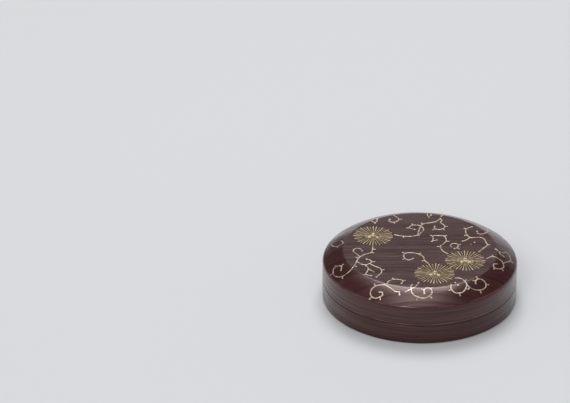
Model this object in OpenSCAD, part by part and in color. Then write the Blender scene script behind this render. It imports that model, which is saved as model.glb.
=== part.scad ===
// Round flat incense box of lacquered bent wood, with a lift-off lid and raised gold decoration.
// Millimetres. The origin is the middle of the foot, +Z is up and the front of the box faces -Y.

/* [Box] */
// Diameter of the side wall
outer_d = 76; // [70:1:100]
// Height from the foot to the flat of the lid
box_h = 20.2; // [19.4:0.2:26]
// Height of the lower box, up to the seam
body_h = 7.8; // [7:0.2:8.6]
// Width of the lid's sloping shoulder, seen from above
shoulder_w = 8; // [6:0.5:8]
// Drop of the shoulder from the flat top to its outer edge
shoulder_h = 4.4; // [3.6:0.2:5.2]
// Swell of the shoulder above a straight slope
shoulder_swell = 0.4; // [0.2:0.05:0.6]

/* [Hoops and boards] */
// Thickness of the two outer hoops
hoop_t = 2.6; // [2:0.1:3.2]
// Thickness of the inner rim hoop
rim_t = 1.4; // [1:0.1:2]
// Height that the inner rim stands above the seam
rim_rise = 2.6; // [1.6:0.2:3.6]
// Thickness of the floor board
floor_t = 2.4; // [1.6:0.2:3]
// Step from the foot up to the underside of the floor board
floor_recess = 0.6; // [0.4:0.1:1]
// Upright edge of the lid board between the shoulder and its hoop
board_land = 0.8; // [0.4:0.1:1.2]
// Depth that the lid board drops inside its hoop
board_plug = 1; // [0.6:0.1:1.6]
// Bevel on the edges that meet at the seam
seam_bevel = 0.25; // [0.1:0.05:0.4]
// Bevel round the foot
foot_bevel = 0.6; // [0.2:0.1:0.8]

/* [Fits] */
// Gap all round between the lid's hoop and the inner rim
lid_gap = 0.15; // [0.1:0.05:0.3]
// Glue line between a board and the hoop round it
glue_gap = 0.05; // [0.05:0.05:0.15]

/* [Gold flowers] */
// Radius of a chrysanthemum
flower_r = 7.9; // [6:0.1:8]
// Petals in each of a chrysanthemum's two rings
petal_count = 36; // [24:1:40]
// Width of a long petal near its tip
petal_w = 0.4; // [0.3:0.05:0.6]
// Width of a long petal at its root
petal_root_w = 0.1; // [0.08:0.02:0.14]
// Distance of a long petal's root from the middle of its flower
petal_root = 2.6; // [2.5:0.1:3.2]
// Width of a short petal near its tip
short_petal_w = 0.1; // [0.08:0.02:0.16]
// Width of a short petal at its root
short_petal_root_w = 0.07; // [0.05:0.01:0.09]
// Distance of a short petal's root from the middle of its flower
short_petal_root = 0.3; // [0.2:0.1:1.4]
// Distance of a short petal's tip from the middle of its flower
short_petal_tip = 3.2; // [2.8:0.1:4]
// Radius of the heart of a flower
heart_r = 0.4; // [0.3:0.05:0.6]
// Radius of the three seeds round the heart of a flower
seed_r = 0.65; // [0.5:0.05:0.7]
// Distance of a seed from the middle of its flower
seed_place = 1.7; // [1.6:0.05:1.85]
// Gap between a flower and what lies beside it
flower_gap = 0.15; // [0.1:0.05:0.3]

/* [Gold vines] */
// Width of a vine's line
vine_w = 0.45; // [0.4:0.05:0.7]
// Radius of the bead at a vine's end
bead_r = 0.4; // [0.35:0.05:0.5]
// Length of a thorn from the middle of its vine
thorn_l = 1.3; // [1:0.1:1.5]
// Width of a thorn's stem
thorn_w = 0.4; // [0.35:0.05:0.5]
// Radius of the bead at a thorn's tip
thorn_bead_r = 0.3; // [0.25:0.05:0.4]
// Height of the gold above the lacquer
relief = 0.06; // [0.04:0.02:0.2]
// Depth of the gold in the lacquer
sink = 0.08; // [0.06:0.02:0.2]

/* [Hidden] */
$fn = 128;

outer_r = outer_d / 2;
hoop_in_r = outer_r - hoop_t;
rim_out_r = hoop_in_r - lid_gap;
rim_in_r = rim_out_r - rim_t;
board_r = hoop_in_r - glue_gap;
floor_top = floor_recess + floor_t;
rim_top = body_h + rim_rise;
shoulder_z = box_h - shoulder_h;
lid_hoop_top = shoulder_z - board_land;
flat_r = outer_r - shoulder_w;

// The shoulder's section is an arc through the rim of the flat and the shoulder's outer edge
chord = norm([shoulder_w, shoulder_h]);
swell_r = chord * chord / (8 * shoulder_swell) + shoulder_swell / 2;
swell_centre = [flat_r + outer_r, box_h + shoulder_z] / 2
  - (swell_r - shoulder_swell) / chord * [shoulder_h, shoulder_w];

// The decoration lies on a grid with this many steps from the middle of the lid to its edge
layout_steps = 38;
grid = outer_r / layout_steps;

// Middles of the three flowers: the right one lies beside the front one
rear_left_flower = [-18, 11.25] * grid;
front_flower = [5, -19] * grid;
right_flower = front_flower + (2 * flower_r + flower_gap) * unit([12, 10]);

// Shares of a flower's radius that its long petals reach, in turn round the flower
petal_reach = [1, 0.96, 0.99, 0.95, 1, 0.97, 0.99, 0.94, 0.98];

// Shares of a vine's stretch at which its ridge has a ring
ring_steps = [0, 0.25, 0.5, 0.75];
// Angles round a bead at which its ridge has a ring, from its stem and all the way round
stem_bead_turns = [135, 90, 45, 10];
loose_bead_turns = [170, 135, 90, 45, 10];
// How far a vine's curve swings out between two points
curve_pull = 1.1;

lacquer = [0.29, 0.19, 0.19];
inner_lacquer = [0.16, 0.1, 0.1];
gold = [0.82, 0.74, 0.58];

function unit(v) = v / norm(v);

// Height of the lid's outside at a distance r from its middle
function lid_z(r) =
  r <= flat_r
    ? box_h
    : swell_centre.y + sqrt(swell_r * swell_r - pow(min(r, outer_r) - swell_centre.x, 2));

function on_lid(p, lift) = [p.x, p.y, lid_z(norm(p)) + lift];

// Place on the grid just outside a flower's petals where a vine starts, turned from +X
function beside(flower, turn) =
  (flower + (flower_r + flower_gap + vine_w / 2) * [cos(turn), sin(turn)]) / grid;

// Direction of a stroke at its point i, from the points before and after
function heading(points, i) =
  let (
    before = points[max(i, 1)] - points[max(i, 1) - 1],
    after = points[min(i, len(points) - 2) + 1] - points[min(i, len(points) - 2)]
  )
  unit(unit(before) * norm(after) + unit(after) * norm(before));

// Point and direction at a share t of the way from point i of a stroke to the next
function along(points, i, t) =
  let (
    a = points[i],
    b = points[i + 1],
    pull = curve_pull * norm(b - a),
    u = pull * heading(points, i),
    v = pull * heading(points, i + 1),
    s = 1 - t
  )
  [
    a * s * s * (1 + 2 * t) + u * t * s * s + b * t * t * (3 - 2 * t) - v * t * t * s,
    unit(6 * t * s * (b - a) + u * s * (1 - 3 * t) + v * t * (3 * t - 2))
  ];

// Side on which a stroke bulges at its point i: 1 is left, -1 is right
function bulge(points, i) =
  cross(points[i] - points[i - 1], points[i + 1] - points[i]) > 0 ? -1 : 1;

// One ring of a ridge, from its place and direction and its width
function ring(at, width) =
  let (side = [-at[1].y, at[1].x] * width / 2)
  [
    on_lid(at[0] + side, -sink / 4),
    on_lid(at[0], relief),
    on_lid(at[0] - side, -sink / 4),
    on_lid(at[0], -sink)
  ];

function bead_rings(at, radius, turns) =
  [
    for (turn = turns)
      ring([at[0] + at[1] * radius * cos(turn), at[1]], 2 * radius * sin(turn))
  ];

// A stroke of a vine runs through its points and ends in a bead
function stroke_rings(points) =
  let (last = len(points) - 1)
  concat(
    [for (i = [0:last - 1], t = ring_steps) ring(along(points, i, t), vine_w)],
    bead_rings(along(points, last - 1, 1), bead_r, stem_bead_turns)
  );

// A thorn stands on the outside of the bend at point i of a stroke: a short stem with a bead
function thorn_rings(points, i) =
  let (
    way = heading(points, i),
    out = bulge(points, i) * [-way.y, way.x],
    neck = thorn_l - thorn_bead_r
  )
  concat(
    [for (reach = [0, neck / 2]) ring([points[i] + out * reach, out], thorn_w)],
    bead_rings([points[i] + out * neck, out], thorn_bead_r, stem_bead_turns)
  );

// A closed ridge of gold through its rings
module ridge(rings) {
  sides = len(rings[0]);
  end = sides * (len(rings) - 1);
  polyhedron(
    points = [for (r = rings, p = r) p],
    faces = concat(
      [[0, 1, 2], [0, 2, 3], [end + 2, end + 1, end], [end + 3, end + 2, end]],
      [
        for (i = [0:len(rings) - 2], j = [0:sides - 1])
          let (a = sides * i + j, b = sides * i + (j + 1) % sides)
          each [[a, a + sides, b], [b, a + sides, b + sides]]
      ]
    )
  );
}

// Strokes are lists of places on the grid, where a third number 1 marks a thorn
module vine(strokes, beads = []) {
  color(gold) {
    for (stroke = strokes) {
      points = [for (p = stroke) [p.x, p.y] * grid];
      ridge(stroke_rings(points));
      for (i = [0:len(stroke) - 1])
        if (stroke[i].z == 1) ridge(thorn_rings(points, i));
    }
    for (place = beads) ridge(bead_rings([place * grid, [1, 0]], bead_r, loose_bead_turns));
  }
}

// A petal is a bar that widens outwards and ends in a blunt tip
module petal(root, tip, root_width, width) {
  polygon([
    [root, -root_width / 2],
    [tip - width / 2, -width / 2],
    [tip, -width / 4],
    [tip, width / 4],
    [tip - width / 2, width / 2],
    [root, root_width / 2]
  ]);
}

module chrysanthemum(place) {
  step = 360 / petal_count;
  color(gold)
    translate([place.x, place.y, box_h - sink])
      linear_extrude(sink + relief) {
        for (i = [0:petal_count - 1]) {
          tip = flower_r * petal_reach[i % len(petal_reach)];
          rotate(step * i) petal(petal_root, tip, petal_root_w, petal_w);
          rotate(step * (i + 0.5))
            petal(short_petal_root, short_petal_tip, short_petal_root_w, short_petal_w);
        }
        circle(heart_r);
        for (turn = [90, 210, 330])
          rotate(turn)
            translate([seed_place, 0])
              circle(seed_r);
      }
}

// The floor board is let into the foot of the body hoop
module body_floor_board() {
  color(inner_lacquer)
    translate([0, 0, floor_recess])
      cylinder(h = floor_t, r = board_r);
}

// The body hoop is the lower half of the side wall, and the box stands on it
module body_hoop() {
  color(lacquer)
    rotate_extrude()
      polygon([
        [hoop_in_r, 0],
        [outer_r - foot_bevel, 0],
        [outer_r, foot_bevel],
        [outer_r, body_h - seam_bevel],
        [outer_r - seam_bevel, body_h],
        [hoop_in_r, body_h]
      ]);
}

// The inner rim stands on the floor board inside the body hoop, and the lid fits over it
module inner_rim_hoop() {
  color(inner_lacquer)
    rotate_extrude()
      polygon([
        [rim_in_r, floor_top],
        [rim_out_r, floor_top],
        [rim_out_r, rim_top - seam_bevel],
        [rim_out_r - seam_bevel, rim_top],
        [rim_in_r, rim_top]
      ]);
}

// The lid hoop is the upper half of the side wall
module lid_hoop() {
  color(lacquer)
    rotate_extrude()
      polygon([
        [hoop_in_r, body_h],
        [outer_r - seam_bevel, body_h],
        [outer_r, body_h + seam_bevel],
        [outer_r, lid_hoop_top],
        [hoop_in_r, lid_hoop_top]
      ]);
}

// The lid board lies on its hoop, with a round step that drops inside it
module lid_top_board() {
  underside = lid_hoop_top - board_plug;
  color(lacquer)
    rotate_extrude()
      intersection() {
        polygon([
          [0, underside],
          [board_r, underside],
          [board_r, lid_hoop_top],
          [outer_r, lid_hoop_top],
          [outer_r, box_h],
          [0, box_h]
        ]);
        union() {
          translate(swell_centre) circle(swell_r);
          square([flat_r, box_h]);
        }
      }
}

module chrysanthemum_rear_left() {
  chrysanthemum(rear_left_flower);
}

module chrysanthemum_front() {
  chrysanthemum(front_flower);
}

module chrysanthemum_right() {
  chrysanthemum(right_flower);
}

module vine_left() {
  vine([
    [
      beside(rear_left_flower, 268), [-18.5, 0.5, 1], [-19, -2, 1], [-22, -4], [-24, -6.5, 1],
      [-25, -10], [-26, -13, 1], [-28, -16], [-30.5, -17, 1], [-33, -15.5], [-34, -13, 1],
      [-33, -10, 1], [-31, -11, 1], [-31, -13.5]
    ],
    [[-23.5, -5.5], [-25, -3], [-26, -1], [-25, 1], [-23.5, 1], [-22.5, -1]],
    [
      [-25, -9], [-24, -10.5], [-23, -11.5], [-21.5, -12, 1], [-20, -11], [-19, -9.5, 1], [-20, -8],
      [-21, -7.5]
    ],
    [
      [-20, -11], [-18.5, -12.5], [-17.5, -13.5], [-16, -14.5], [-15.5, -16, 1], [-15.5, -18],
      [-16.5, -20], [-17.5, -21.5]
    ],
    [[-21.5, -12], [-20.5, -15], [-21, -17.5], [-21.5, -19.5, 1], [-19.5, -20.5]],
    [[-20.5, -15], [-19.5, -16.5], [-18.5, -17.5]]
  ]);
}

module vine_left_shoulder() {
  vine([[[-34.5, 10], [-34, 7], [-32, 4.5, 1], [-30, 5.5], [-30.5, 8]]]);
}

module vine_front_left() {
  vine([
    [
      [-13.5, -27], [-15, -27], [-18, -27, 1], [-19.5, -28], [-20, -29.5], [-19.5, -31, 1],
      [-18, -32], [-16.5, -32, 1], [-15.5, -31.5], [-15.5, -30.5], [-16.5, -30]
    ],
    [[-13.5, -27], [-13, -25], [-11, -23.5, 1], [-9, -23.5], [-7.5, -24.5, 1], [-8, -26.5]],
    [[-15, -27], [-13.5, -28], [-12.5, -29], [-11.5, -30], [-10.5, -31], [-9, -31.5], [-9, -32.5]]
  ]);
}

module vine_front_centre() {
  vine([
    [
      [-4.5, -30.5], [-4, -32.5], [-2, -34, 1], [0, -34.5], [2.5, -33.5, 1], [3.5, -32],
      [3, -30.5, 1], [2, -30], [0.5, -31, 1], [0.5, -32.5]
    ],
    [[-4.5, -30.5], [-3, -29.5], [-2, -27.5], [-1.5, -26]],
    [[-4.5, -30.5], [-4.5, -28.5], [-4, -27.5]],
    [[-4.5, -30.5], [-5.5, -31], [-6.5, -31.5]]
  ]);
}

module vine_front_right() {
  vine(
    [
      [
        beside(front_flower, 336), [14.5, -22.5], [16, -24.5, 1], [17, -26.5], [16.5, -28.5],
        [16, -29.5], [14, -31, 1], [12, -31], [11, -30, 1], [11, -27.5]
      ],
      [
        [17, -26.5], [18, -27.5], [20, -28], [22, -27.5, 1], [23.5, -26.5], [24.5, -24, 1],
        [23.5, -22.5], [21.5, -22.5, 1], [20.5, -24, 1], [20.5, -25]
      ],
      [[16.5, -28.5], [17.5, -28.5], [18, -27.5]]
    ],
    beads = [[12.5, -26], [13.5, -27.5]]
  );
}

module vine_right() {
  vine([
    [
      beside(right_flower, 10), [28, -5.5, 1], [30, -6.5], [31.5, -7.5], [32, -9], [32, -11],
      [31, -12.5, 1], [29.5, -13.5], [28.5, -13.5, 1], [28, -12], [28.5, -11], [29.5, -10.5]
    ],
    [
      [32, -8.5], [33.5, -6.5], [35, -4.5, 1], [35, -1.5], [34, 0.5], [32, -1], [31, -1],
      [29.5, 0.5]
    ],
    [[31, -1], [31, -2.5], [32.5, -3.5]]
  ]);
}

module vine_rear_right() {
  vine(
    [
      [
        [21.5, 19], [19, 17, 1], [18.5, 14.5], [19, 12, 1], [20, 10], [22, 10], [24, 10],
        [25.5, 8.5], [26, 6], [26.5, 4, 1], [25, 1.5], [23, -1.5]
      ],
      [[20, 10], [18.5, 8], [17, 7]]
    ],
    beads = [[21.5, 6], [20, 4.5]]
  );
}

module vine_rear_right_edge() {
  vine([[[24, 20.5], [27, 19], [27.5, 16.5], [26.5, 14], [25.5, 13], [23.5, 13], [23, 15]]]);
}

module vine_middle() {
  vine([
    [
      beside(right_flower, 139), [9.5, -2], [8.5, 0], [8, 2.5, 1], [9.5, 5], [10.5, 7, 1],
      [10.5, 9], [10, 11, 1], [7.5, 11.5], [5.5, 11, 1], [5.5, 9], [5.5, 7.5, 1], [7, 8]
    ],
    [[12.5, 2], [12, 3], [12.5, 4.5], [14, 5], [15, 4, 1], [15, 2.5], [14.5, 1.5, 1], [13.5, 1]]
  ]);
}

module vine_centre() {
  vine([
    [
      beside(front_flower, 105), [1.5, -8.5, 1], [1, -5.5], [-0.5, -3.5, 1], [-3, -2.5],
      [-6, -3, 1], [-6.5, -5], [-6, -7, 1], [-5, -8], [-3.5, -7.5], [-3, -7]
    ]
  ]);
}

module vine_rear_centre() {
  vine([
    [
      beside(rear_left_flower, 7), [-6, 11, 1], [-3, 11], [-0.5, 12, 1], [1, 14], [2, 16.5],
      [1.5, 18.5], [0, 20], [-2, 20, 1], [-3.5, 18, 1], [-1.5, 16.5]
    ],
    [[-0.5, 12], [0, 15], [0.5, 17.5], [2, 21, 1], [4.5, 22], [7, 23], [9, 25.5]],
    [
      [9, 25.5], [9.5, 24], [9, 22.5], [10, 20.5], [10.5, 19, 1], [9.5, 17, 1], [8, 16.5],
      [6.5, 17, 1], [6.5, 19]
    ]
  ]);
}

module vine_rear_left() {
  vine([
    [
      [-9.5, 28], [-8.5, 27], [-7.5, 25, 1], [-8.5, 23], [-9.5, 22.5, 1], [-11, 23], [-11.5, 24],
      [-11, 25]
    ]
  ]);
}

module vine_back_left() {
  vine([[[-16, 30.5], [-18.5, 29], [-20, 26.5], [-18.5, 23.5], [-17, 22.5, 1], [-16, 25.5]]]);
}

module vine_back_right() {
  vine([
    [[17, 30.5], [14, 32], [11.5, 31, 1], [10.5, 29], [9.5, 27.5]],
    [[14, 32], [9, 33.5, 1], [5, 32], [4, 29.5], [4.5, 27.5, 1], [5.5, 28.5]]
  ]);
}

body_floor_board();
body_hoop();
inner_rim_hoop();
lid_hoop();
lid_top_board();
chrysanthemum_rear_left();
chrysanthemum_front();
chrysanthemum_right();
vine_left();
vine_left_shoulder();
vine_front_left();
vine_front_centre();
vine_front_right();
vine_right();
vine_rear_right();
vine_rear_right_edge();
vine_middle();
vine_centre();
vine_rear_centre();
vine_rear_left();
vine_back_left();
vine_back_right();
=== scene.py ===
"""Looks of a round lacquered incense box with raised gold decoration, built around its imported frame."""

import math

import bmesh
import bpy
from bpy.props import FloatProperty, FloatVectorProperty, IntProperty, PointerProperty
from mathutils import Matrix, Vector


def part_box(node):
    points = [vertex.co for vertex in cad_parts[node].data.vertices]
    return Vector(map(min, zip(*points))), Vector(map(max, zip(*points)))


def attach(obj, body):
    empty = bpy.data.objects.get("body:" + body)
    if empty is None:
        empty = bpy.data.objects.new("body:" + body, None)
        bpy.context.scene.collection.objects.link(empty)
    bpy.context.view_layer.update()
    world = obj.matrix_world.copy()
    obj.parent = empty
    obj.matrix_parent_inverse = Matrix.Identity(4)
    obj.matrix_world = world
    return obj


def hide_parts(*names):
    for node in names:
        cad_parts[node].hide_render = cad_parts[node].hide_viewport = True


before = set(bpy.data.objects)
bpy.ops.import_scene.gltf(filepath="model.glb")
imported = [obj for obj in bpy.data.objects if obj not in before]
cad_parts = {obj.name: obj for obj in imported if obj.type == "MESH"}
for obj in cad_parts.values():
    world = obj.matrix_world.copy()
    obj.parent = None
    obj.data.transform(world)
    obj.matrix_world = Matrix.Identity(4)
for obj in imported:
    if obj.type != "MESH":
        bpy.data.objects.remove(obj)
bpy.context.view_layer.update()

bl_info = {
    "name": "Lacquered Incense Box",
    "version": (1, 0, 0),
    "blender": (4, 5, 0),
    "location": "View3D > Sidebar > Incense Box",
    "description": "Models a round lacquered incense box with raised gold chrysanthemums and vines",
    "category": "Add Mesh",
}

MM = 0.001
MERGE = 1e-6
ROUND_STEPS = 4
AXIS = (0, 0, 1)
GLUE_LINE = 0.05 * MM
WOOD_SMOOTH = math.radians(35)
PETAL_SMOOTH = math.radians(40)
VINE_SMOOTH = math.radians(50)

FLOOR_LOW, FLOOR_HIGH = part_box("body_floor_board")
BODY_LOW, BODY_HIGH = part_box("body_hoop")
RIM_LOW, RIM_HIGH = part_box("inner_rim_hoop")
HOOP_LOW, HOOP_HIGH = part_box("lid_hoop")
BOARD_LOW, BOARD_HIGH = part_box("lid_top_board")

# Millimetres between a chrysanthemum and the vine that springs from it
VINE_GAP = 0.45

# Turn of each chrysanthemum, in degrees
FLOWERS = {
    "chrysanthemum_rear_left": 2,
    "chrysanthemum_front": 5,
    "chrysanthemum_right": 0,
}


def flower_middle(node):
    """Middle of a chrysanthemum, from its CAD node."""
    low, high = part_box(node)
    return (low + high) / 2


def flower_edge(node, turn):
    """Place beside a chrysanthemum, in millimetres on the lid, where a vine springs from it."""
    low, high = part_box(node)
    reach = (high.x - low.x) / 2 / MM + VINE_GAP
    middle = flower_middle(node) / MM
    angle = math.radians(turn)
    return (middle.x + reach * math.cos(angle), middle.y + reach * math.sin(angle))


# Shares of a flower's radius that its long petals reach, in turn round a quarter of the flower
PETAL_REACH = (1, 0.96, 0.99, 0.95, 1, 0.97, 0.99, 0.94, 0.98)

# Each vine is a list of strokes. A stroke is a list of places on the lid, in millimetres, and a
# third value 1 marks a thorn on the outside of the bend. A stroke of one place is a loose bead.
VINES = {
    "vine_left": [
        [
            flower_edge("chrysanthemum_rear_left", 268), (-18.5, 0.5, 1), (-19, -2, 1), (-22, -4),
            (-24, -6.5, 1), (-25, -10), (-26, -13, 1), (-28, -16), (-30.5, -17, 1), (-33, -15.5),
            (-34, -13, 1), (-33, -10, 1), (-31, -11, 1), (-31, -13.5),
        ],
        [(-23.5, -5.5), (-25, -3), (-26, -1), (-25, 1), (-23.5, 1), (-22.5, -1)],
        [
            (-25, -9), (-24, -10.5), (-23, -11.5), (-21.5, -12, 1), (-20, -11), (-19, -9.5, 1),
            (-20, -8), (-21, -7.5),
        ],
        [
            (-20, -11), (-18.5, -12.5), (-17.5, -13.5), (-16, -14.5), (-15.5, -16, 1), (-15.5, -18),
            (-16.5, -20), (-17.5, -21.5),
        ],
        [(-21.5, -12), (-20.5, -15), (-21, -17.5), (-21.5, -19.5, 1), (-19.5, -20.5)],
        [(-20.5, -15), (-19.5, -16.5), (-18.5, -17.5)],
    ],
    "vine_left_shoulder": [
        [(-34.5, 10), (-34, 7), (-32, 4.5, 1), (-30, 5.5), (-30.5, 8)],
    ],
    "vine_front_left": [
        [
            (-13.5, -27), (-15, -27), (-18, -27, 1), (-19.5, -28), (-20, -29.5), (-19.5, -31, 1),
            (-18, -32), (-16.5, -32, 1), (-15.5, -31.5), (-15.5, -30.5), (-16.5, -30),
        ],
        [(-13.5, -27), (-13, -25), (-11, -23.5, 1), (-9, -23.5), (-7.5, -24.5, 1), (-8, -26.5)],
        [
            (-15, -27), (-13.5, -28), (-12.5, -29), (-11.5, -30), (-10.5, -31), (-9, -31.5),
            (-9, -32.5),
        ],
    ],
    "vine_front_centre": [
        [
            (-4.5, -30.5), (-4, -32.5), (-2, -34, 1), (0, -34.5), (2.5, -33.5, 1), (3.5, -32),
            (3, -30.5, 1), (2, -30), (0.5, -31, 1), (0.5, -32.5),
        ],
        [(-4.5, -30.5), (-3, -29.5), (-2, -27.5), (-1.5, -26)],
        [(-4.5, -30.5), (-4.5, -28.5), (-4, -27.5)],
        [(-4.5, -30.5), (-5.5, -31), (-6.5, -31.5)],
    ],
    "vine_front_right": [
        [
            flower_edge("chrysanthemum_front", 336), (14.5, -22.5), (16, -24.5, 1), (17, -26.5),
            (16.5, -28.5), (16, -29.5), (14, -31, 1), (12, -31), (11, -30, 1), (11, -27.5),
        ],
        [
            (17, -26.5), (18, -27.5), (20, -28), (22, -27.5, 1), (23.5, -26.5), (24.5, -24, 1),
            (23.5, -22.5), (21.5, -22.5, 1), (20.5, -24, 1), (20.5, -25),
        ],
        [(16.5, -28.5), (17.5, -28.5), (18, -27.5)],
        [(12.5, -26)],
        [(13.5, -27.5)],
    ],
    "vine_right": [
        [
            flower_edge("chrysanthemum_right", 10), (28, -5.5, 1), (30, -6.5), (31.5, -7.5), (32, -9),
            (32, -11), (31, -12.5, 1), (29.5, -13.5), (28.5, -13.5, 1), (28, -12), (28.5, -11),
            (29.5, -10.5),
        ],
        [
            (32, -8.5), (33.5, -6.5), (35, -4.5, 1), (35, -1.5), (34, 0.5), (32, -1), (31, -1),
            (29.5, 0.5),
        ],
        [(31, -1), (31, -2.5), (32.5, -3.5)],
    ],
    "vine_rear_right": [
        [
            (21.5, 19), (19, 17, 1), (18.5, 14.5), (19, 12, 1), (20, 10), (22, 10), (24, 10),
            (25.5, 8.5), (26, 6), (26.5, 4, 1), (25, 1.5), (23, -1.5),
        ],
        [(20, 10), (18.5, 8), (17, 7)],
        [(21.5, 6)],
        [(20, 4.5)],
    ],
    "vine_rear_right_edge": [
        [(24, 20.5), (27, 19), (27.5, 16.5), (26.5, 14), (25.5, 13), (23.5, 13), (23, 15)],
    ],
    "vine_middle": [
        [
            flower_edge("chrysanthemum_right", 139), (9.5, -2), (8.5, 0), (8, 2.5, 1), (9.5, 5),
            (10.5, 7, 1), (10.5, 9), (10, 11, 1), (7.5, 11.5), (5.5, 11, 1), (5.5, 9), (5.5, 7.5, 1),
            (7, 8),
        ],
        [
            (12.5, 2), (12, 3), (12.5, 4.5), (14, 5), (15, 4, 1), (15, 2.5), (14.5, 1.5, 1),
            (13.5, 1),
        ],
    ],
    "vine_centre": [
        [
            flower_edge("chrysanthemum_front", 105), (1.5, -8.5, 1), (1, -5.5), (-0.5, -3.5, 1),
            (-3, -2.5), (-6, -3, 1), (-6.5, -5), (-6, -7, 1), (-5, -8), (-3.5, -7.5), (-3, -7),
        ],
    ],
    "vine_rear_centre": [
        [
            flower_edge("chrysanthemum_rear_left", 7), (-6, 11, 1), (-3, 11), (-0.5, 12, 1), (1, 14),
            (2, 16.5), (1.5, 18.5), (0, 20), (-2, 20, 1), (-3.5, 18, 1), (-1.5, 16.5),
        ],
        [(-0.5, 12), (0, 15), (0.5, 17.5), (2, 21, 1), (4.5, 22), (7, 23), (9, 25.5)],
        [
            (9, 25.5), (9.5, 24), (9, 22.5), (10, 20.5), (10.5, 19, 1), (9.5, 17, 1), (8, 16.5),
            (6.5, 17, 1), (6.5, 19),
        ],
    ],
    "vine_rear_left": [
        [
            (-9.5, 28), (-8.5, 27), (-7.5, 25, 1), (-8.5, 23), (-9.5, 22.5, 1), (-11, 23),
            (-11.5, 24), (-11, 25),
        ],
    ],
    "vine_back_left": [
        [(-16, 30.5), (-18.5, 29), (-20, 26.5), (-18.5, 23.5), (-17, 22.5, 1), (-16, 25.5)],
    ],
    "vine_back_right": [
        [(17, 30.5), (14, 32), (11.5, 31, 1), (10.5, 29), (9.5, 27.5)],
        [(14, 32), (9, 33.5, 1), (5, 32), (4, 29.5), (4.5, 27.5, 1), (5.5, 28.5)],
    ],
}


def length(name, description, default):
    """A size in metres for the panel."""
    return FloatProperty(name=name, description=description, default=default, unit="LENGTH", precision=5)


def colour(name, description, default):
    """A scene-linear colour for the panel."""
    return FloatVectorProperty(
        name=name, description=description, default=default, subtype="COLOR", size=3, min=0, max=1
    )


def share(name, description, default):
    """A value from 0 to 1 for the panel."""
    return FloatProperty(name=name, description=description, default=default, subtype="FACTOR", min=0, max=1)


def strength(name, description, default, unit="NONE"):
    """A value from 0 up for the panel."""
    return FloatProperty(name=name, description=description, default=default, min=0, unit=unit)


def position(name, description, default):
    """A place in metres for the panel."""
    return FloatVectorProperty(
        name=name, description=description, default=default, subtype="TRANSLATION", unit="LENGTH"
    )


class BoxSizes(bpy.types.PropertyGroup):
    """Sizes of the wooden hoops and boards."""

    outer_radius: length("Outer radius", "Radius of the side wall", BODY_HIGH.x)
    flat_radius: length("Flat radius", "Radius of the lid's flat top", 30 * MM)
    edge_height: length("Edge height", "Height of the shoulder's outer edge", 15.8 * MM)
    swell: length("Shoulder swell", "Swell of the shoulder above a straight slope", 0.4 * MM)
    hoop_thickness: length("Hoop thickness", "Thickness of the two outer hoops", 2.6 * MM)
    rim_thickness: length("Rim thickness", "Thickness of the inner rim hoop", 1.4 * MM)
    edge_round: length("Edge rounding", "Rounding of the shoulder's outer edge", 0.8 * MM)
    crease_round: length("Crease rounding", "Rounding where the shoulder meets the flat top", 0.35 * MM)
    seam_round: length("Seam rounding", "Rounding of the edges that meet at the seam", 0.3 * MM)
    foot_round: length("Foot rounding", "Rounding round the foot", 0.6 * MM)
    ridge_pitch: length("Ridge pitch", "Height between two grain lines of the side wall", 0.45 * MM)
    ridge_depth: length("Ridge depth", "Depth of the deepest grain line of the side wall", 0.07 * MM)
    turns: IntProperty(name="Steps round", description="Steps round the box", default=192, min=48)


class GoldSizes(bpy.types.PropertyGroup):
    """Sizes of the gold decoration."""

    petals: IntProperty(name="Petals", description="Petals in each ring, in nines", default=36, min=9)
    petal_width: length("Petal width", "Width of a long petal near its tip", 0.4 * MM)
    root_width: length("Petal root width", "Width of a long petal at its root", 0.1 * MM)
    petal_root: length("Petal root", "Distance of a long petal's root from the middle", 2.6 * MM)
    short_width: length("Short petal width", "Width of a short petal near its tip", 0.1 * MM)
    short_root_width: length("Short petal root width", "Width of a short petal at its root", 0.07 * MM)
    short_root: length("Short petal root", "Distance of a short petal's root from the middle", 0.3 * MM)
    short_tip: length("Short petal tip", "Distance of a short petal's tip from the middle", 3.2 * MM)
    seed_radius: length("Seed radius", "Radius of the seeds round the heart of a flower", 0.65 * MM)
    seed_place: length("Seed place", "Distance of a seed from the middle", 1.7 * MM)
    heart_radius: length("Heart radius", "Radius of the heart of a flower", 0.4 * MM)
    vine_width: length("Vine width", "Width of a vine's line", 0.45 * MM)
    bead_radius: length("Bead radius", "Radius of the bead at a vine's end", 0.4 * MM)
    thorn_length: length("Thorn length", "Length of a thorn from the middle of its vine", 1.3 * MM)
    thorn_bead: length("Thorn bead", "Radius of the bead at a thorn's tip", 0.3 * MM)
    relief: length("Relief", "Height of the gold above the lacquer", 0.06 * MM)
    sink: length("Sink", "Depth of the gold in the lacquer", 0.08 * MM)


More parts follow.
